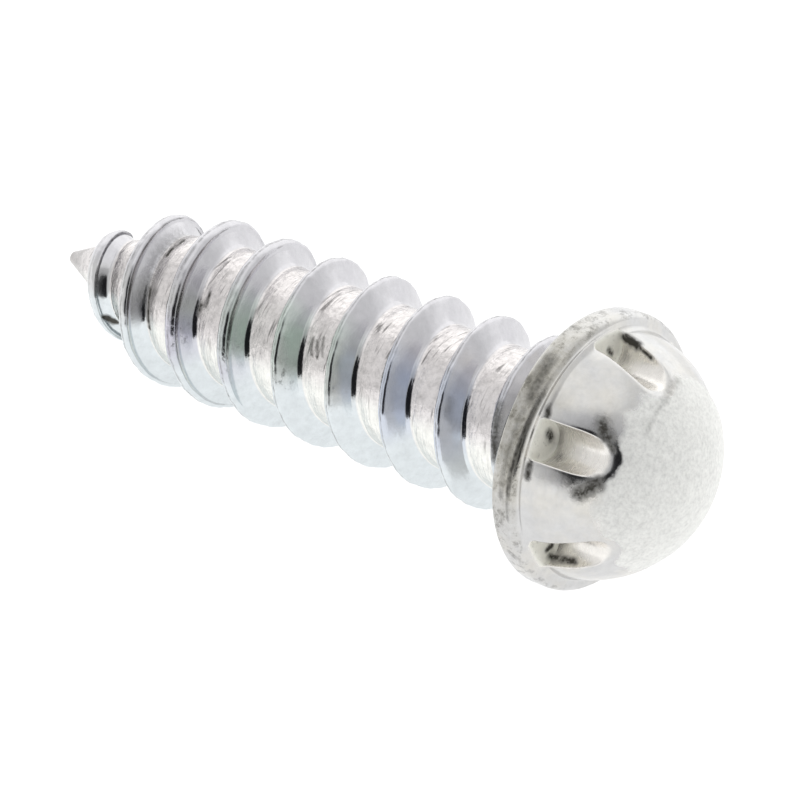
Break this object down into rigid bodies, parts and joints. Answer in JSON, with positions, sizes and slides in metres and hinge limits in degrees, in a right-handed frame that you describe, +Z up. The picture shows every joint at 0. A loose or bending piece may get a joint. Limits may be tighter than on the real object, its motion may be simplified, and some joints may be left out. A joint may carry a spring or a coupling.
{
  "type": "security screw",
  "caption": "Self-tapping security screw for sheet metal with a spaced right-hand thread, a gimlet point and a domed flange head that is driven by round grooves in its side.",
  "frame": {"origin": "centre of the bearing face under the flange, on the screw's axis", "axes": "+X towards the head and -X towards the tip, with the axis raised towards the head by the tilt of the resting screw; +Z up"},
  "size_m": [0.015, 0.0052, 0.0053],
  "materials": {
    "zinc_plated_steel": "bright zinc plating, shiny thread flanks with rolling marks, frosted top of the head, dark stains in the grooves and on the rim"
  },
  "bodies": {
    "root": {"screw": "zinc_plated_steel"}
  },
  "joints": []
}
